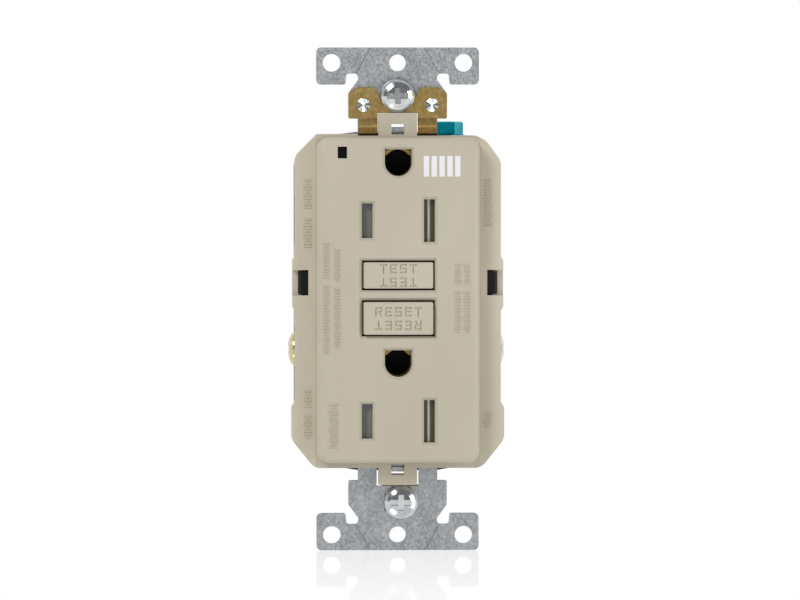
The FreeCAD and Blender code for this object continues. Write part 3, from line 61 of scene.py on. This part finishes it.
def linear(hex_colour):
    """An sRGB hex colour as the linear RGBA that shaders take."""
    def channel(start):
        level = int(hex_colour[start:start + 2], 16) / 255
        return level / 12.92 if level <= 0.04045 else ((level + 0.055) / 1.055) ** 2.4
    return channel(1), channel(3), channel(5), 1.0


# ---------------------------------------------------------------- materials

class Finish:
    """One procedural material, with add() to put in a node with its settings and links."""

    def __init__(self, name, metallic=0.0, specular=0.5):
        self.material = bpy.data.materials.new(name)
        self.material.use_nodes = True
        self.tree = self.material.node_tree
        self.shader = self.tree.nodes["Principled BSDF"]
        self.shader.inputs["Metallic"].default_value = metallic
        self.shader.inputs["Specular IOR Level"].default_value = specular
        self.place = self.add("ShaderNodeTexCoord").outputs["Object"]

    def add(self, kind, settings=None, links=None):
        """Add a node. Settings go to its properties or sockets; links feed its sockets, by name or number."""
        node = self.tree.nodes.new(kind)
        for key, setting in (settings or {}).items():
            if isinstance(key, str) and hasattr(node, key):
                setattr(node, key, setting)
            else:
                node.inputs[key].default_value = setting
        for key, source in (links or {}).items():
            self.tree.links.new(source, node.inputs[key])
        return node

    def feed(self, socket, source):
        self.tree.links.new(source, self.shader.inputs[socket])

    def noise(self, size, detail=3.0, stretch=(1, 1, 1)):
        """Noise with blobs about size across, stretched along an axis where its factor is below 1."""
        spread = self.add("ShaderNodeMapping", {"Scale": stretch}, {"Vector": self.place})
        return self.add("ShaderNodeTexNoise", {"Scale": 1 / size, "Detail": detail},
                        {"Vector": spread.outputs["Vector"]}).outputs["Fac"]

    def ramp(self, source, stops):
        """Colours or grey levels along a 0 to 1 value."""
        node = self.add("ShaderNodeValToRGB", links={"Fac": source})
        elements = node.color_ramp.elements
        while len(elements) < len(stops):
            elements.new(0.5)
        for element, (position, level) in zip(elements, stops):
            element.position = position
            element.color = linear(level) if isinstance(level, str) else (level, level, level, 1)
        return node.outputs["Color"]

    def mix(self, factor, first, second, blend="MIX"):
        """Two colours blended by a number or by a value."""
        node = self.add("ShaderNodeMix", {"data_type": "RGBA", "blend_type": blend}, {6: first, 7: second})
        if isinstance(factor, float):
            node.inputs[0].default_value = factor
        else:
            self.tree.links.new(factor, node.inputs[0])
        return node.outputs[2]

    def across(self, axis, low, high):
        """0 to 1 along an axis between two places, in metres."""
        split = self.add("ShaderNodeSeparateXYZ", links={"Vector": self.place})
        return self.add("ShaderNodeMapRange", {"From Min": low, "From Max": high},
                        {"Value": split.outputs[axis]}).outputs["Result"]

    def relief(self, layers):
        """Bump from (height, depth in metres, strength) layers, one over the other."""
        below = None
        for height, depth, strength in layers:
            links = {"Height": height}
            if below:
                links["Normal"] = below
            below = self.add("ShaderNodeBump", {"Distance": depth, "Strength": strength}, links).outputs["Normal"]
        self.feed("Normal", below)


def thermoplastic(name, light, dark, roughness, skin=0.35 * MM, specular=0.4):
    """Injection-moulded plastic: an even colour with slow flow shading and a fine spark-eroded skin."""
    finish = Finish(name, specular=specular)
    flow = finish.noise(14 * MM, 2.0, (1, 1, 0.5))
    finish.feed("Base Color", finish.ramp(flow, [(0.32, dark), (0.68, light)]))
    spark = finish.noise(skin, 2.0)
    finish.feed("Roughness", finish.ramp(spark, [(0.3, roughness - 0.05), (0.7, roughness + 0.05)]))
    finish.relief([(spark, 0.01 * MM, 0.5)])
    return finish.material


def almond_cover():
    """Moulded almond cover: spark-eroded skin, with painted light that makes its flanges a little lighter than its
    raised face, the left one most.
    """
    finish = Finish("moulded almond cover thermoplastic", specular=0.35)
    flow = finish.noise(14 * MM, 2.0, (1, 1, 0.5))
    face = finish.ramp(flow, [(0.3, "#c3bba8"), (0.7, "#c9c1ae")])
    # painted light: a grey level along X that lightens both flanges against the raised face, as if their slopes caught
    # the lamps
    painted_flange_light = finish.ramp(finish.across("X", -20 * MM, 20 * MM),
                        [(0.0, 1.0), (0.075, 1.0), (0.085, 0.84), (0.915, 0.84), (0.925, 0.95)])
    finish.feed("Base Color", finish.mix(1.0, face, painted_flange_light, "MULTIPLY"))
    spark = finish.noise(0.3 * MM, 2.0)
    finish.feed("Roughness", finish.ramp(spark, [(0.3, 0.42), (0.7, 0.52)]))
    finish.relief([(spark, 0.008 * MM, 0.5)])
    return finish.material


def shutter_plastic():
    """Grey shutters whose right-hand end carries a dull bronze leaf, darker towards its ends, with a painted highlight
    streak where a bend would shine.
    """
    finish = Finish("moulded grey shutter plastic", specular=0.4)
    flow = finish.noise(2.5 * MM, 3.0, (1, 1, 0.3))
    grey = finish.ramp(flow, [(0.3, "#686c69"), (0.7, "#7b807c")])
    # painted highlight: the pale stops paint a bright streak across the bronze leaf colour
    leaf = finish.ramp(finish.across("X", 5.0 * MM, 7.6 * MM),
                       [(0.0, "#2b2a1e"), (0.34, "#5a5744"), (0.42, "#d6d7cf"), (0.5, "#e4e4dd"), (0.57, "#6f6b55"),
                        (0.68, "#4f4b38"), (1.0, "#3d3a2a")])
    finish.feed("Base Color", finish.mix(finish.across("X", 0.0, 0.5 * MM), grey, leaf))
    finish.feed("Roughness", finish.ramp(flow, [(0.3, 0.3), (0.7, 0.42)]))
    finish.relief([(flow, 0.03 * MM, 0.4)])
    return finish.material


def zinc_sheet(name, stops, roughness):
    """Zinc-coated strip: fine matt mottling with slower clouds of dull grey under it."""
    finish = Finish(name, metallic=1.0)
    speckle = finish.noise(0.35 * MM, 6.0, (1, 1, 0.7))
    cloud = finish.noise(2.6 * MM, 4.0, (1, 1, 0.5))
    finish.feed("Base Color", finish.ramp(finish.mix(0.3, speckle, cloud), stops))
    finish.feed("Roughness", finish.ramp(speckle, [(0.3, roughness - 0.06), (0.7, roughness + 0.08)]))
    finish.relief([(speckle, 0.03 * MM, 0.5), (cloud, 0.06 * MM, 0.2)])
    return finish.material


def rolled_brass():
    """Rolled brass sheet: mottled olive tarnish, with its legs rolled over so that they catch one long highlight."""
    finish = Finish("rolled brass sheet", metallic=1.0)
    cloud = finish.noise(0.9 * MM, 5.0)
    lines = finish.noise(0.22 * MM, 4.0, (1, 1, 0.25))
    finish.feed("Base Color", finish.ramp(finish.mix(0.3, cloud, lines),
                                          [(0.32, "#a1874f"), (0.55, "#bb9e64"), (0.72, "#d2b67c")]))
    finish.feed("Roughness", finish.ramp(lines, [(0.3, 0.3), (0.7, 0.4)]))
    leg_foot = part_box("front_cover")[1][2] - 4.2 * MM
    roll = finish.ramp(finish.across("Z", leg_foot - 0.6 * MM, leg_foot + 3.4 * MM),
                       [(0.0, 0.0), (0.2, 0.45), (0.5, 0.8), (0.8, 1.0), (1.0, 1.0)])
    finish.relief([(roll, 1.4 * MM, 1.0), (lines, 0.012 * MM, 0.4), (cloud, 0.03 * MM, 0.3)])
    return finish.material


def bright_metal(name, stops, roughness, tarnish=2.2 * MM):
    """Formed or turned metal: tarnish clouds, and fine scratches that blur its mirror."""
    finish = Finish(name, metallic=1.0)
    cloud = finish.noise(tarnish, 5.0)
    lines = finish.noise(0.22 * MM, 4.0, (1, 1, 0.25))
    finish.feed("Base Color", finish.ramp(finish.mix(0.3, cloud, lines), stops))
    finish.feed("Roughness", finish.ramp(lines, [(0.3, roughness - 0.05), (0.7, roughness + 0.07)]))
    finish.relief([(lines, 0.012 * MM, 0.4), (cloud, 0.03 * MM, 0.3)])
    return finish.material


ALMOND = almond_cover()
BUTTON = thermoplastic("moulded almond button thermoplastic", "#bab4a3", "#b5ae9c", 0.4)
BLACK = thermoplastic("moulded black thermoplastic", "#151413", "#0c0b0b", 0.55, specular=0.2)
NATURAL = thermoplastic("moulded natural nylon", "#dcd9cf", "#cfcbc0", 0.45)
CHARCOAL = thermoplastic("moulded charcoal nylon", "#34363a", "#26282b", 0.45)
SHUTTER = shutter_plastic()
FIBRE = thermoplastic("vulcanised fibre", "#9c5f44", "#7f4a35", 0.7, 0.6 * MM)
LAMP = thermoplastic("smoked lamp lens", "#0d0c0c", "#080807", 0.5, specular=0.1)
EPOXY = thermoplastic("glass epoxy board", "#2f7040", "#245a33", 0.35)
CHIP = thermoplastic("moulded epoxy package", "#26272a", "#1c1d1f", 0.5)
DIPPED = thermoplastic("dipped epoxy coating", "#2f66a0", "#255389", 0.25)
FERRITE = thermoplastic("pressed ferrite", "#454649", "#35363a", 0.68)
PRINT = thermoplastic("white pad-printed ink", "#e4e4e6", "#dadadd", 0.6)
ZINC = zinc_sheet("zinc-plated strap steel", [(0.34, "#979b9e"), (0.5, "#b0b4b7"), (0.66, "#c7cbcd")], 0.46)
STEEL = bright_metal("zinc-plated screw steel", [(0.3, "#b4b9bc"), (0.7, "#e6e8e8")], 0.14)
BRASS = rolled_brass()
BRASS_SCREW = bright_metal("brass-plated screw steel", [(0.3, "#b3a878"), (0.7, "#ddd5ad")], 0.18)
GREEN = bright_metal("green-dyed ground screw steel", [(0.3, "#00808f"), (0.7, "#18a6b8")], 0.2)
SPRING = bright_metal("hardened spring steel", [(0.3, "#a9acae"), (0.7, "#c9cccd")], 0.25)
COPPER = bright_metal("enamelled copper wire", [(0.3, "#8a4424"), (0.7, "#b4623a")], 0.25)

SLOT_FINISHES = {
    "cover_plastic": ALMOND,
    "button_plastic": BUTTON,
    "body_plastic": BLACK,
    "inner_plastic": NATURAL,
    "carriage_plastic": CHARCOAL,
    "shutter_plastic": SHUTTER,
    "zinc_steel": ZINC,
    "screw_steel": STEEL,
    "brass": BRASS,
    "brass_screw": BRASS_SCREW,
    "green_screw": GREEN,
    "fibre": FIBRE,
    "spring_steel": SPRING,
    "board": EPOXY,
    "chip": CHIP,
    "component": DIPPED,
    "copper": COPPER,
    "ferrite": FERRITE,
    "clear": LAMP,
}
# painted shade: the parts that show through the ground holes and slots are made black, whatever their neighbours are
# made of
HOLE_SHADE_FINISHES = {"separator": BLACK, "upper_shutter_frame": BLACK, "lower_shutter_frame": BLACK}
for part in frame["record"]["subparts"]:
    materials = nodes[part["node"]].data.materials
    materials.clear()
    materials.append(HOLE_SHADE_FINISHES.get(part["node"], SLOT_FINISHES[part["material_slot"]]))


# ---------------------------------------------------------------- added pieces

def add_piece(name, mesh, finish, body):
    """A finished mesh as a piece that rides on a body."""
    data = bpy.data.meshes.new(name)
    mesh.normal_update()
    mesh.to_mesh(data)
    mesh.free()
    data.materials.append(finish)
    piece = bpy.data.objects.new(name, data)
    bpy.context.scene.collection.objects.link(piece)
    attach(piece, body)


def raised_bar(mesh, across, up, half_width, half_height, base, top, draft=0.05 * MM):
    """One drafted bar that stands on a plane across Y; its foot is sunk slightly to join it."""
    corners = ((-1, -1), (1, -1), (1, 1), (-1, 1))
    foot = [mesh.verts.new((across + x * half_width, base, up + z * half_height)) for x, z in corners]
    crown = [mesh.verts.new((across + x * (half_width - draft), top, up + z * (half_height - draft)))
             for x, z in corners]
    mesh.faces.new(crown)
    for index in range(4):
        following = (index + 1) % 4
        mesh.faces.new((foot[index], foot[following], crown[following], crown[index]))


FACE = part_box("front_cover")[0][1]
FLANGE = -3.2 * MM


def moulded_marks():
    """Rows of plain raised strokes where such a cover carries moulded lettering."""
    # plane, middle across, top, foot and stroke length of each row; the last four in millimetres
    rows = (
        (FACE, -14.7, 11.9, 4.3, 1.25), (FACE, -14.7, 3.3, -11.0, 1.25),
        (FACE, -12.45, 10.7, 3.6, 1.25), (FACE, -12.45, 2.6, -10.4, 1.25),
        (FACE, -13.2, -20.9, -30.5, 1.9),
        (FACE, 14.0, 7.6, 3.0, 1.25), (FACE, 14.0, 2.0, -6.9, 1.25),
        (FACE, 12.1, 7.6, 3.0, 1.25), (FACE, 12.1, 2.0, -6.9, 1.25),
        (FLANGE, -18.5, 24.8, 18.3, 1.7), (FLANGE, -18.5, 16.8, 10.1, 1.7),
        (FLANGE, -18.5, -18.4, -22.4, 1.7), (FLANGE, -18.5, -23.5, -28.6, 1.7),
        (FLANGE, 18.5, 24.7, 14.4, 1.7),
        (FLANGE, 18.5, -23.3, -26.5, 1.7),
    )
    pitch, half_stroke, height = 0.62, 0.14, 0.2 * MM
    sunk = 0.02 * MM
    mesh = bmesh.new()
    for plane, across, top, foot, length in rows:
        for index in range(int((top - foot) / pitch)):
            shorter = 0.62 if index % 3 == 1 else 1.0
            raised_bar(mesh, across * MM, (top - (index + 0.5) * pitch) * MM, shorter * length / 2 * MM,
                       half_stroke * MM, plane + sunk, plane - height)
    add_piece("moulded_marks", mesh, ALMOND, "root")


def printed_mark():
    """Plain white bars, pad-printed on the face beside the upper ground hole."""
    bars, first, pitch, up = 5, 5.7, 1.6, 27.4 * MM
    half_width, half_height = 0.55 * MM, 2.1 * MM
    sunk, film = 0.01 * MM, 0.03 * MM
    mesh = bmesh.new()
    for index in range(bars):
        raised_bar(mesh, (first + pitch * index) * MM, up, half_width, half_height, FACE + sunk, FACE - film, sunk)
    add_piece("printed_mark", mesh, PRINT, "root")


def staked_stars():
    """The star that a staking punch leaves in each rivet head: eight ridges between eight clefts."""
    low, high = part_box("strap_rivets")
    up = (low[2] + high[2]) / 2
    head = (high[2] - low[2]) / 2
    radius = head * 0.94
    points, turned, ridge = 16, 12, 0.3 * MM
    mesh = bmesh.new()
    for side in (low[0] + head, high[0] - head):
        middle = mesh.verts.new((side, low[1] - 0.02 * MM, up))
        rim = []
        for index in range(points):
            angle = math.radians(360 / points * index + turned)
            raised = ridge if index % 2 else 0.0
            rim.append(mesh.verts.new((side + radius * math.cos(angle), low[1] - raised,
                                       up + radius * math.sin(angle))))
        for index in range(points):
            mesh.faces.new((middle, rim[index], rim[(index + 1) % points]))
    add_piece("staked_stars", mesh, STEEL, "root")


moulded_marks()
printed_mark()
staked_stars()


# ---------------------------------------------------------------- setting

def white_floor():
    """Glossy white acrylic: plain white, with a faint mirror that dies away in front of the outlet."""
    finish = Finish("white acrylic floor")
    shine = finish.add("ShaderNodeBsdfGlossy", {"Roughness": 0.03, "Color": linear("#ffffff")})
    white = finish.add("ShaderNodeEmission", {"Strength": 1.0, "Color": linear("#ffffff")})
    fade = finish.ramp(finish.across("Y", -0.2, 0.0), [(0.0, 0.0), (0.35, 0.03), (1.0, 0.24)])
    surface = finish.add("ShaderNodeMixShader", links={0: fade, 1: white.outputs[0], 2: shine.outputs[0]})
    finish.tree.links.new(surface.outputs[0], finish.tree.nodes["Material Output"].inputs["Surface"])
    mesh = bpy.data.meshes.new("floor")
    reach, level = 3.0, cad_box[0][2] - 0.02 * MM
    mesh.from_pydata([(-reach, -reach, level), (reach, -reach, level), (reach, reach, level), (-reach, reach, level)],
                     [], [(0, 1, 2, 3)])
    mesh.materials.append(finish.material)
    sheet = bpy.data.objects.new("floor", mesh)
    bpy.context.scene.collection.objects.link(sheet)


def studio_world():
    """White behind the object, darker behind the camera, so bright metal has something dark to mirror."""
    world = bpy.data.worlds.new("studio")
    bpy.context.scene.world = world
    world.use_nodes = True
    tree = world.node_tree
    place = tree.nodes.new("ShaderNodeTexCoord")
    split = tree.nodes.new("ShaderNodeSeparateXYZ")
    tree.links.new(place.outputs["Generated"], split.inputs["Vector"])
    fade = tree.nodes.new("ShaderNodeMapRange")
    for socket, setting in (("From Min", -0.5), ("From Max", 0.3), ("To Min", 0.2), ("To Max", 1.0)):
        fade.inputs[socket].default_value = setting
    tree.links.new(split.outputs["Y"], fade.inputs["Value"])
    tree.links.new(fade.outputs["Result"], tree.nodes["Background"].inputs["Strength"])
    tree.nodes["Background"].inputs["Color"].default_value = linear("#ffffff")


def soft_light(name, place, size, power):
    """A square softbox that looks at the outlet, with its side in metres and its power in watts."""
    lamp = bpy.data.lights.new(name, "AREA")
    lamp.size = size
    lamp.energy = power
    fixture = bpy.data.objects.new(name, lamp)
    fixture.location = place
    fixture.rotation_euler = (-Vector(place)).to_track_quat("-Z", "Y").to_euler()
    bpy.context.scene.collection.objects.link(fixture)


def long_lens_camera():
    """A long lens almost square on, a little to the left of the face and above it."""
    left, above = math.radians(1.5), math.radians(2.6)
    lens, sensor, view_width = 250, 36, 164.1 * MM
    camera = bpy.data.cameras.new("camera")
    camera.lens = lens
    camera.sensor_width = sensor
    camera.clip_start = 0.01
    holder = bpy.data.objects.new("camera", camera)
    bpy.context.scene.collection.objects.link(holder)
    aim = Vector((0.53 * MM, 0, -0.2 * MM))
    toward = Vector((-math.sin(left) * math.cos(above), -math.cos(left) * math.cos(above), math.sin(above)))
    holder.location = aim + toward * view_width * lens / sensor
    holder.rotation_euler = (-toward).to_track_quat("-Z", "Y").to_euler()
    bpy.context.scene.camera = holder


white_floor()
studio_world()
soft_light("key softbox", (-0.45, -0.55, 0.55), 0.3, 4.1)
soft_light("fill softbox", (0.6, -0.45, 0.1), 0.3, 2.1)
long_lens_camera()
bpy.context.scene.view_settings.view_transform = "Standard"
